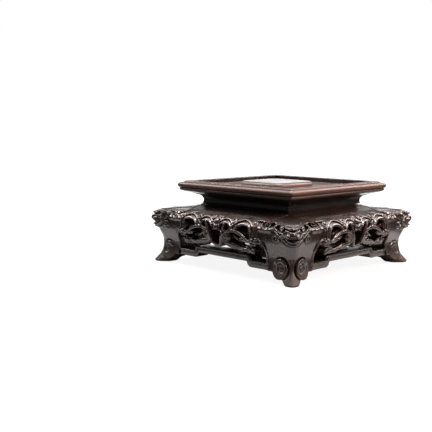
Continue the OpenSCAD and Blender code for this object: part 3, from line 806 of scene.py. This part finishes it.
def slit(place, length, u, z):
    """Distance to the edge of a pointed opening in the frieze, negative inside it."""
    r = (length**2 + SLIT_H**2) / (4 * SLIT_H)
    lower = np.hypot(u - place, z - SLIT_Z + r - SLIT_H / 2)
    upper = np.hypot(u - place, z - SLIT_Z - r + SLIT_H / 2)
    return np.maximum(lower, upper) - r


def shoulder_carving(u, z):
    """Height of the bands, buds and curls on the shoulder over the openings."""
    bands = (
        [(26.0, 51.0, 0.7), (30, 55.0, 1.1), (37.5, 56.8, 1.3), (44.8, 55.0, 1.1), (49.0, 51.4, 0.7)],
        [(4.6, 51.4, 0.7), (8.2, 54.8, 1.1), (13.8, 56.2, 1.2), (19.4, 54.8, 1.1), (22.6, 51.6, 0.7)],
    )
    parts = [ridge(flowing(band), 1.6, u, z) for band in bands]
    parts.append(ridge(spiral(24.2, 54.6, 2.6, 0.5, 1.4, 300, 0.9, 0.6), 1.8, u, z))
    parts.append(ridge(spiral(5.2, 55.8, 2.3, 0.5, -1.4, 200, 0.8, 0.6), 1.7, u, z))
    buds = ((0, 53.0, 2.8, 2.2), (0, 57.2, 1.8, 1.3), (24.2, 50.6, 1.8, 1.5), (49.6, 55.0, 1.9, 1.4))
    parts += [dome(at, up, r, high, u, z) for at, up, r, high in buds]
    return (1.35 * np.maximum.reduce(parts) - 1.0) * ease(*SHOULDER_FADE, z)


def strapwork(u, z):
    """The pierced outline of one half of an apron's wall, and the height of its carving."""
    u, z = np.broadcast_arrays(u, z)
    inner = slit(*INNER_SLIT, u, z)
    outer = slit(*OUTER_SLIT, u, z)
    beside = ease(BELT[1], BELT[1] + 1.5, u)
    shoulder = shoulder_carving(u, z) * (1 - beside) + hip(u, z) * beside
    parts = [(frieze_z - z, shoulder)]
    band = np.maximum(np.maximum(frieze_z - PIERCED_D - z, u - BELT[1]), z - frieze_z - 1)
    parts.append((np.maximum(band, -np.minimum(inner, outer)), np.full(u.shape, GROUND)))
    straps = (
        (0.0, 1.5, 0, [(5.4, 47.8, 0.8), (8.4, 51.2, 1.2), (13.5, 52.8, 1.5), (18.6, 51.2, 1.2),
                       (21.6, 47.8, 0.8)]),
        (0.0, 1.6, 0, [(27.4, 47.4, 0.9), (31.2, 51.4, 1.4), (38, 53.2, 1.7), (44.4, 51.4, 1.4),
                       (47.2, 47.4, 0.9)]),
        (-0.2, 1.5, 0.25, [(8.6, 36.5, 1.2), (10.4, 40.6, 1.5), (16, 43.9, 1.7), (24, 45.0, 1.8),
                           (31, 43.6, 1.8), (37, 40.8, 1.7), (41.4, 37.6, 1.6), (45.6, 36.7, 1.4)]),
        (-0.5, 1.5, 0, [(16.8, 42.0, 0.5), (20.6, 47.4, 1.1), (24.2, 50.8, 1.0)]),
        (-0.8, 1.4, 0, [(22.8, 44.6, 0.5), (25.4, 47.2, 1.0), (27.0, 50.6, 0.8)]),
        (-0.6, 1.9, 0.55, [(8.8, 37, 1.4), (9.4, 34.2, 1.8), (12.4, 31.6, 2.4), (17, 30.4, 3.1),
                           (22.5, 29.8, 3.3), (28, 28.6, 2.7), (34, 27.5, 2.4), (40, 27.3, 2.8),
                           (44.4, 28.0, 3.4)]),
        (-5.2, 1.6, 0.5, [(19.6, 40.8, 0.9), (23.4, 38.0, 2.0), (27.4, 35.6, 2.0), (32.0, 33.8, 0.9)]),
        (-0.6, 1.7, 0.4, [(33.6, 38.6, 1.2), (36.8, 37.4, 2.2), (40.8, 36.2, 1.6)]),
        (-1.4, 1.2, 0, [(26, 30.4, 0.8), (28.5, 26.9, 1.2), (31, 24.8, 0.8)]),
        (-1.2, 1.2, 0, [(38, 31.0, 0.6), (42, 30.8, 1.0), (46.4, 32.4, 0.9)]),
    )
    parts += [rounded(line, base, high, vein, u, z) for base, high, vein, line in straps]
    from_head = np.hypot(u - HEAD[0], z - HEAD[1])
    scroll = ridge(spiral(*HEAD, 4.1, 1.6, 1.3, 150, 1.1, 0.8), 1.5, u, z)
    scroll = np.maximum(scroll, dome(*HEAD, 2.1, 2.1, u, z))
    parts.append((from_head - HEAD_R, scroll - 0.4))
    rib = np.array([(-3.2, 57.2, 0.9), (-0.8, 53, 1.4), (0, 47, 1.6), (0, 41, 1.6), (-0.5, 35.5, 1.4)])
    belt = np.maximum(*(ridge(flowing(rib + (at, 0, 0)), 1.8, u, z) for at in BELT_RIBS))
    belt_edge = np.maximum(np.abs(u - sum(BELT) / 2) - (BELT[1] - BELT[0]) / 2, BELT_LOW - z)
    parts.append((np.maximum(belt_edge, z - frieze_z - 4), belt - 1.5))
    parts.append((np.maximum(BELT[1] - u, ROLL_Z - z), hip(u, z)))
    from_opening = np.hypot(u - OPENING[0], z - OPENING[1])
    bead = (from_opening - OPENING_R - FRAME_BEAD_W / 2) / (FRAME_BEAD_W / 2)
    frame = 1.5 * half_round(bead) - 1.2 * bell(bead - 1.7, 0.5)
    spandrel = np.maximum(np.maximum(OPENING[0] - u, OPENING[1] - z), OPENING_R - from_opening)
    parts.append((np.maximum(spandrel, BELT[1] - u), frame))
    strip = (u - span_half + FRAME_BEAD_W / 2) / (FRAME_BEAD_W / 2)
    strip_edge = np.maximum(FRAME_BEAD_W / 2 * (np.abs(strip) - 1), z - OPENING[1] - 0.6)
    parts.append((np.maximum(strip_edge, apron_low.z - z), 1.1 * half_round(strip)))
    lobes = ((45.4, 36.6, 2.5), (48.8, 37.6, 2.6), (52.4, 36.6, 2.4), (55.6, 36.2, 2.0), (47.4, 34.0, 2.0))
    lobes += ((50.8, 33.8, 1.7), (46.6, 26.4, 2.4), (48.2, 29.4, 1.9))
    for at, up, r in lobes:
        parts.append((np.hypot(u - at, z - up) - r, dome(at, up, r, 1.6, u, z) - 0.3))
    loop = [(12.9, 51, 1.2), (9.9, 42.6, 1.3), (7.0, 35.6, 1.35), (5.9, 31.2, 1.4), (3.6, 28.7, 1.4)]
    parts.append(rounded([*loop, (0, 27.8, 1.4)], LOOP_LIFT - 0.7, 1.2, 0, u, z))
    for at, up, r, high in ((0, 47.0, 3.3, 2.6), (4.3, 49.0, 1.7, 1.6), (3.6, 44.4, 1.5, 1.2)):
        parts.append((np.hypot(u - at, z - up) - r, dome(at, up, r, high, u, z) - 1.2))
    outline = np.minimum.reduce([edge for edge, lift in parts])
    height = np.maximum.reduce([np.where(edge < STRAP_OVERLAP, lift, SET_BACK) for edge, lift in parts])
    return outline, np.where(height <= SET_BACK, 0.0, height)


def apron_field():
    """A field that is negative inside the front apron, over [along the side, distance out, height]."""
    half = math.ceil((span_half + GRID_EDGE) / APRON_CELL)
    low = np.array([-half * APRON_CELL, -apron_high.y - GRID_EDGE, apron_low.z - GRID_EDGE])
    steps = np.abs(np.arange(-half, half + 1))
    reach = np.arange(low[1], face_half + PANEL_ROOM, APRON_CELL)
    rise = np.arange(low[2], body_h + GRID_EDGE, APRON_CELL)
    at, square = face_at(rise)
    outline, lift = strapwork(APRON_CELL * np.arange(half + 1)[:, None], rise[None, :])
    u = (APRON_CELL * steps)[:, None, None]
    h = reach[None, :, None]
    z = rise[None, None, :]
    panel = PANEL_LIFT * ease(*PANEL_SIDE, u - BELT[1]) * ease(*PANEL_TOP, body_h - z)
    front = (h - at - panel) * square - lift[steps][:, None, :]
    wall = np.maximum(round_max(front, outline[steps][:, None, :], STRAP_ROUND), wall_in - h)
    board = np.maximum(np.maximum(front, body_h - SHOULDER_T - z), -apron_high.y - h)
    body = np.maximum(np.minimum(wall, board), z - body_h)
    body = np.maximum(body, (u - h) / math.sqrt(2))
    return np.maximum(body, u - span_half), low


field, low = apron_field()
points, faces = skin(field, low, APRON_CELL)
relief = relief_at(points, field, low, APRON_CELL, 2)
front = points * (1, -1, 1)
for turns, side in enumerate(SIDES):
    node = "apron_" + side
    timber = points + APRON_CUT + turns * np.array(APRON_APART)
    mesh = wooden_mesh(node + "_carved", turned(front, turns), faces[:, ::-1], relief, timber)
    fitted(node + "_carved", mesh, node, rosewood)

# Waist: four hollowed boards of dark rosewood between the rim and the aprons.
# Each is planed to a cove, mitred at both ends and tongued into the wood above and below.
WAIST_T = 10.6
COVE_DEPTH = 3.2
SECTION_STEP = 0.35


def moulding_tree():
    """A mitred board: its section run between two mitres and turned to its side."""
    tree = bpy.data.node_groups.new("mitred_board", "GeometryNodeTree")
    (section, side, wood), result = tree_ends(tree, ("Section", "Side", "Wood"))
    start = section.node("GeometryNodeTransform", {"Geometry": section, "Translation": (-1, 0, 0)})
    along = section.node("ShaderNodeCombineXYZ", {0: 1.0})
    run = {"Mesh": start, "Offset": along, "Offset Scale": 2.0, "Individual": False}
    board = section.node("GeometryNodeExtrudeMesh", run, mode="FACES")
    cap = section.node("GeometryNodeFlipFaces", {"Mesh": start})
    board = section.node("GeometryNodeJoinGeometry", {"Geometry": [board, cap]})
    board = section.node("GeometryNodeMergeByDistance", {"Geometry": board, "Distance": 0.000001})
    place = section.node("GeometryNodeInputPosition")
    x, y, z = (section.node("ShaderNodeSeparateXYZ", {0: place}, n) for n in range(3))
    mitred = section.node("ShaderNodeCombineXYZ", {0: x * (0.0 - y), 1: y, 2: z})
    board = section.node("GeometryNodeSetPosition", {"Geometry": board, "Position": mitred})
    finish_board(board, side, wood, result)
    return tree


def section_points(outline, soft=3):
    """A board's section with its points spaced evenly and its arrises softened."""
    outline = np.array(outline, float)
    closed = np.vstack([outline, outline[:1]])
    length = np.concatenate([[0], np.cumsum(np.hypot(*np.diff(closed, axis=0).T))])
    count = int(length[-1] / SECTION_STEP)
    at = np.linspace(0, length[-1], count, endpoint=False)
    d, z = (np.interp(at, length, closed[:, n]) for n in (0, 1))
    for _ in range(soft):
        d, z = ((np.roll(v, 1) + 2 * v + np.roll(v, -1)) / 4 for v in (d, z))
    return np.stack([d, z], 1)


rim_low, rim_high = node_box("rim_rail_front")
rim_z = rim_low.z
waist_in = waist_half - WAIST_T
half_h = (rim_z - body_h) / 2
cove_r = (COVE_DEPTH**2 + half_h**2) / (2 * COVE_DEPTH)
cove_end = math.asin(half_h / cove_r)
bend = np.linspace(-cove_end, cove_end, 24)
cove = np.stack([cove_r * (1 - np.cos(bend)), cove_r * np.sin(bend)], 1)
cove = cove + (waist_half - COVE_DEPTH, body_h + half_h)
outline = section_points(np.vstack([cove, [(waist_in, rim_z), (waist_in, body_h)]]), 1)
mitred_board = moulding_tree()
for turns, side in enumerate(SIDES):
    node = "waist_" + side
    section = bpy.data.meshes.new(node)
    section.from_pydata([(0, -d * MM, z * MM) for d, z in outline], [], [tuple(range(len(outline)))])
    mesh = worn(grown(section, mitred_board, {"Side": float(turns), "Wood": dark_rosewood}))
    fitted(node + "_coved", mesh, node, dark_rosewood)

# Rim: four mitred rails of rosewood round the tray, with a crowned lip, a bead, a small round fillet
# and a hollow under it. The mouldings are planed on the strip, hidden tenons lock the mitres,
# and handling has worn the corners round and the outside brown.
TRAY_HALF = 69.5
TRAY_D = 5.5
LIP_W = 4.8
BEAD_R = 2.8
BEAD_DROP = 4.5
BEAD_ARC = (-65, 115)
FILLET_R = 1.4
FILLET_IN = 2.9
FILLET_DROP = 8.7
FILLET_ARC = (-75, 70)
LEDGE_W = 0.2
LIP_CHAMFER = 0.9
LIP_CROWN = 0.35
LIP_PEAK = 0.5
QUIRK_D = 0.6
QUIRK_W = 1.0
HOLLOW_EDGE = 0.8
PANEL_HALF = 53.0
CORNER_R = 4.0
CORNER_LEAST = 0.1
CORNER_STEPS = 7
CORNER_SPARE = 0.6
FLOOR_SCUFF = 0.8
RIM_RUB = (0.0, 1.0)
RIM_SCUFF = (-0.3, -1.5)
LOOSE_TIMBER = (900, 130, 40)

rim_half = -rim_low.y + CORNER_SPARE
top_z = rim_high.z
floor_z = top_z - TRAY_D


def rim_outline():
    """The rail's section as [distance from the middle, height]."""
    bead = np.array([rim_half - BEAD_R, top_z - BEAD_DROP])
    fillet = np.array([rim_half - FILLET_IN, top_z - FILLET_DROP])
    turn = np.radians(np.linspace(*BEAD_ARC, 24))
    round_bead = bead + BEAD_R * np.stack([np.cos(turn), np.sin(turn)], 1)
    turn = np.radians(np.linspace(*FILLET_ARC, 14))
    round_fillet = fillet + FILLET_R * np.stack([np.cos(turn), np.sin(turn)], 1)
    foot = np.array([waist_half + HOLLOW_EDGE, rim_z])
    hollow = curve(foot, foot + (4.5, 2.0), round_fillet[0] - (2.4, 1.4), round_fillet[0])
    groove_half = TRAY_HALF + LIP_W + LIP_CHAMFER
    quirk_z = bead[1] + BEAD_R - QUIRK_D
    across = np.linspace(1, 0, 15)
    crown = np.stack([TRAY_HALF + LIP_W * across, top_z - LIP_CROWN * (across / LIP_PEAK - 1) ** 2], 1)
    lip = [
        (groove_half + QUIRK_W, quirk_z),
        (groove_half, quirk_z),
        (groove_half, top_z - LIP_CHAMFER),
        *crown,
        (TRAY_HALF, floor_z),
        (PANEL_HALF, floor_z),
        (PANEL_HALF, rim_z),
    ]
    ledge = [(fillet[0] + LEDGE_W, bead[1] - BEAD_R)]
    return np.vstack([hollow, round_fillet, ledge, round_bead, lip])


def rail_loops(section):
    """The rail's section repeated along it, bent round the worn corners up to each mitre."""
    reach, z = section.T
    r = CORNER_R * np.clip((reach - TRAY_HALF) / (rim_half - TRAY_HALF), CORNER_LEAST, 1)
    turn = np.radians(np.linspace(45, 0, CORNER_STEPS))
    bends = [(-1, a) for a in turn] + [(1, a) for a in turn[::-1]]
    return [
        np.stack([end * (reach - r + r * math.sin(a)), r - reach - r * math.cos(a), z], 1) for end, a in bends
    ]


def lofted(name, loops, apart=LOOSE_TIMBER):
    """A closed form through loops of the same count, from the bottom one to the top one."""
    count = len(loops[0])
    faces = [tuple(range(count))[::-1], tuple(range(len(loops) * count - count, len(loops) * count))]
    for row in range(len(loops) - 1):
        for n in range(count):
            a = row * count + n
            b = row * count + (n + 1) % count
            faces.append((a, b, b + count, a + count))
    points = np.vstack(loops)
    mesh = bpy.data.meshes.new(name)
    mesh.from_pydata((points * MM).tolist(), [], faces)
    keep_timber(mesh, points + apart)
    return worn(mesh)


loops = rail_loops(section_points(rim_outline()))
reach = np.abs(np.vstack(loops)[:, :2]).max(1)
for turns, side in enumerate(SIDES):
    node = "rim_rail_" + side
    mesh = lofted(node, loops, np.array(TIMBER_APART) * turns)
    mesh.transform(Matrix.Rotation(math.radians(90 * turns), 4, "Z"))
    keep_trait(mesh, "rubbed", ease(*RIM_RUB, reach - TRAY_HALF - LIP_W))
    keep_trait(mesh, "scuffed", FLOOR_SCUFF * ease(*RIM_SCUFF, reach - TRAY_HALF))
    fitted(node + "_moulded", mesh, node, rosewood)

# Panel and batten: a floating board of rosewood, tongued into the rails, and one dovetailed batten under it.
# The panel's edges are eased, and the batten slides in from the side without glue.
JOINT_GAP = 0.1
TONGUE_L = 3.6
TONGUE_T = 3.0
TONGUE_DROP = 2.5
EASED = 0.25
PANEL_CORNER_R = 0.3
BATTEN_ROUND = 0.8


def rounded_square(half, r, z, at=(0, 0), corner_steps=10):
    """A loop of a square with round corners."""
    turns = np.radians(np.concatenate([np.linspace(90 * n, 90 * n + 90, corner_steps) for n in range(4)]))
    x = at[0] + (half - r) * np.repeat((1, -1, -1, 1), corner_steps) + r * np.cos(turns)
    y = at[1] + (half - r) * np.repeat((1, 1, -1, -1), corner_steps) + r * np.sin(turns)
    return np.stack([x, y, np.full_like(x, z)], 1)


panel_low = node_box("top_panel")[0]
batten_low, batten_high = node_box("panel_batten")
half = PANEL_HALF - JOINT_GAP
tongue_z = floor_z - TONGUE_DROP
profile = (
    (half - EASED, panel_low.z),
    (half, panel_low.z + EASED),
    (half, tongue_z - TONGUE_T),
    (half + TONGUE_L, tongue_z - TONGUE_T),
    (half + TONGUE_L, tongue_z),
    (half, tongue_z),
    (half, floor_z - EASED),
    (half - EASED, floor_z),
)
mesh = lofted("top_panel_board", [rounded_square(w, PANEL_CORNER_R, z, corner_steps=3) for w, z in profile])
keep_trait(mesh, "scuffed", np.full(len(mesh.vertices), FLOOR_SCUFF))
fitted("top_panel_board", mesh, "top_panel", rosewood)

batten_w = batten_high.x - batten_low.x
batten_h = panel_low.z - batten_low.z
middle = batten_low.z + batten_h / 2
path = polyline("panel_batten", [(0, batten_low.y, middle), (0, batten_high.y, middle)])
values = bar_sizes(batten_w, batten_h, BATTEN_ROUND) | {"Side": 0.0, "Wood": dark_rosewood}
mesh = grown(path, swept_bar, values)
fitted("panel_batten_bar", worn(mesh), "panel_batten", dark_rosewood)

# Boss: the polished rosewood block let into the tray's floor, on which the vessel's foot stands.
# It is shaped from one offcut, its edge rounded over and worn brown, and its top rubbed to a gloss.
BOSS_CORNER_R = 16.0
BOSS_EDGE_R = 3.6
BOSS_ARC = (0, 86)
BOSS_CURB = 0.6
BOSS_CROWN = 0.12
BOSS_RINGS = ((4, 1 / 2), (8, 1 / 6))
BOSS_RUB = (0.25, 0.9)
boss_low, boss_high = node_box("vessel_boss")
boss_half = (boss_high.x - boss_low.x) / 2
boss_at = ((boss_high.x + boss_low.x) / 2, (boss_high.y + boss_low.y) / 2)
turn = np.radians(np.linspace(*BOSS_ARC, 12))
edge_z = boss_high.z - BOSS_EDGE_R
rows = [(0, boss_low.z), (0, edge_z - BOSS_CURB)]
rows += [(BOSS_EDGE_R * (1 - math.cos(a)), edge_z + BOSS_EDGE_R * math.sin(a) - BOSS_CROWN) for a in turn]
rows += [(BOSS_EDGE_R + inset, boss_high.z - BOSS_CROWN * drop) for inset, drop in BOSS_RINGS]
loops = [rounded_square(boss_half - inset, BOSS_CORNER_R - inset, z, boss_at) for inset, z in rows]
mesh = lofted("vessel_boss_block", loops)
keep_trait(mesh, "rubbed", ease(*BOSS_RUB, boss_high.z - np.vstack(loops)[:, 2]))
fitted("vessel_boss_block", mesh, "vessel_boss", rosewood)

# Floor and light: white paper on a table in a dim room, with a white wall behind it. The paper that the
# camera sees glows white and holds a painted soft shadow under the stand; a plain sheet under it, hidden
# from the camera, takes the lamps' light. Soft boxes hang overhead, at the left and at the back, a small
# lamp hangs over the tray for its glints, and a warm lamp stands at the right.
SHEET_HALF = 0.146
SHEET_WHITE = 0.45
SHEET_Z = -0.0004
SWEEP_HALF = 3.0
SWEEP_WHITE = 0.12
SWEEP_GLOW = 0.9
SWEEP_Z = -0.0002
PAPER_ROUGH = 0.95
# centre and reach of the painted shadow in the paper's glow
SHADOW_AT = (-0.045, 0.055, 0)
SHADOW_EDGE = (0.05, 0.075)
FAR_EDGE = (0.3, 0.6)
FAR_WHITE = 1.15
WALL_SPAN = (0.5, 1.1)
WALL_TOP = (0.14, 0.3)
CEILING_EDGE = (0.4, 0.8)
LIT_POINT = (0, 0, 0.04)
CEILING_GLOW = 0.5
WALL_GLOW = 1.9
ROOM_GLOW = 0.075


def paper_square(name, half, z, white, glow):
    """A square sheet of white paper on the table; its glow holds a painted shadow under the stand and grows
    brighter far off.
    """
    sheet = bpy.data.meshes.new(name)
    corners = ((-half, -half, z), (half, -half, z), (half, half, z), (-half, half, z))
    sheet.from_pydata(corners, [], [(0, 1, 2, 3)])
    paper = bpy.data.materials.new(name)
    paper.use_nodes = True
    shader = paper.node_tree.nodes["Principled BSDF"]
    shader.inputs["Base Color"].default_value = (white, white, white, 1)
    shader.inputs["Roughness"].default_value = PAPER_ROUGH
    shader.inputs["Specular IOR Level"].default_value = 0.0
    shader.inputs["Emission Strength"].default_value = glow
    start = Strand(paper.node_tree)
    place = start.node("ShaderNodeTexCoord", output=3)
    # painted shadow: the paper's glow goes black near SHADOW_AT, under the stand, and back to white by
    # SHADOW_EDGE
    away = start.node("ShaderNodeVectorMath", {0: place, 1: SHADOW_AT}, 1, operation="DISTANCE")
    glow_with_painted_shadow = away.between(*SHADOW_EDGE).mixed((0, 0, 0, 1), (1, 1, 1, 1))
    glow_with_painted_shadow = away.between(*FAR_EDGE).mixed(glow_with_painted_shadow, (FAR_WHITE, FAR_WHITE, FAR_WHITE, 1))
    paper.node_tree.links.new(glow_with_painted_shadow.socket, shader.inputs["Emission Color"])
    sheet.materials.append(paper)
    ground = placed(name, sheet)
    return ground


sweep = paper_square("studio_sweep", SWEEP_HALF, SWEEP_Z, SWEEP_WHITE, SWEEP_GLOW)
sweep.visible_diffuse = False
sweep.visible_glossy = False
sweep.visible_shadow = False
sheet = paper_square("studio_sheet", SHEET_HALF, SHEET_Z, SHEET_WHITE, 0.0)
sheet.visible_camera = False

world = bpy.data.worlds.new("studio")
bpy.context.scene.world = world
world.use_nodes = True
room = Strand(world.node_tree)
direction = room.node("ShaderNodeTexCoord", output=0)
x, y, z = (room.node("ShaderNodeSeparateXYZ", {0: direction}, n) for n in range(3))
behind = (y - x).between(*WALL_SPAN) * (1.0 - z.between(*WALL_TOP))
ceiling = z.between(*CEILING_EDGE) * CEILING_GLOW
glow = ROOM_GLOW + ceiling + behind * WALL_GLOW
seen = room.node("ShaderNodeLightPath", output=0)
glow = glow + seen * (1.0 - glow)
background = world.node_tree.nodes["Background"]
background.inputs["Color"].default_value = (1, 1, 1, 1)
world.node_tree.links.new(glow.socket, background.inputs["Strength"])
bpy.context.scene.view_settings.view_transform = "Standard"

LIGHTS = (
    ("overhead", (0.0, 0.1, 1.3), 1.4, 28, (1, 0.9, 0.86)),
    ("left_box", (-1.0, -0.35, 1.0), 0.6, 16, (1, 0.93, 0.9)),
    ("back_box", (0.35, 1.1, 0.9), 0.6, 15, (1, 0.89, 0.85)),
    ("glint", (0.15, -0.08, 1.2), 0.3, 14, (1, 0.93, 0.9)),
    ("key_right", (1.1, 0.3, 0.8), 0.5, 20, (1, 0.78, 0.67)),
)
for name, place, size, power, colour in LIGHTS:
    lamp = bpy.data.lights.new(name, "AREA")
    lamp.size = size
    lamp.energy = power
    lamp.color = colour
    light = placed(name, lamp)
    light.location = place
    light.rotation_euler = (Vector(LIT_POINT) - Vector(place)).to_track_quat("-Z", "Y").to_euler()

# Camera: where the photographer stood, low and a little to the right of the corner.
CAMERA_PLACE = (0.51524, -0.60494, 0.14419)
CAMERA_AZIMUTH = math.radians(45.53)
CAMERA_ELEVATION = math.radians(6.86)
CAMERA_ROLL = math.radians(0.21)
CAMERA_LENS = 61.35
SENSOR_W = 36
camera = placed("camera", bpy.data.cameras.new("camera"))
level = math.cos(CAMERA_ELEVATION)
rise = math.sin(CAMERA_ELEVATION)
back = Vector((math.sin(CAMERA_AZIMUTH) * level, -math.cos(CAMERA_AZIMUTH) * level, rise))
right = Vector((0, 0, 1)).cross(back).normalized()
up = back.cross(right)
turn = Matrix((right, up, back)).transposed() @ Matrix.Rotation(CAMERA_ROLL, 3, "Z")
camera.matrix_world = Matrix.Translation(CAMERA_PLACE) @ turn.to_4x4()
camera.data.lens = CAMERA_LENS
camera.data.sensor_width = SENSOR_W
bpy.context.scene.camera = camera
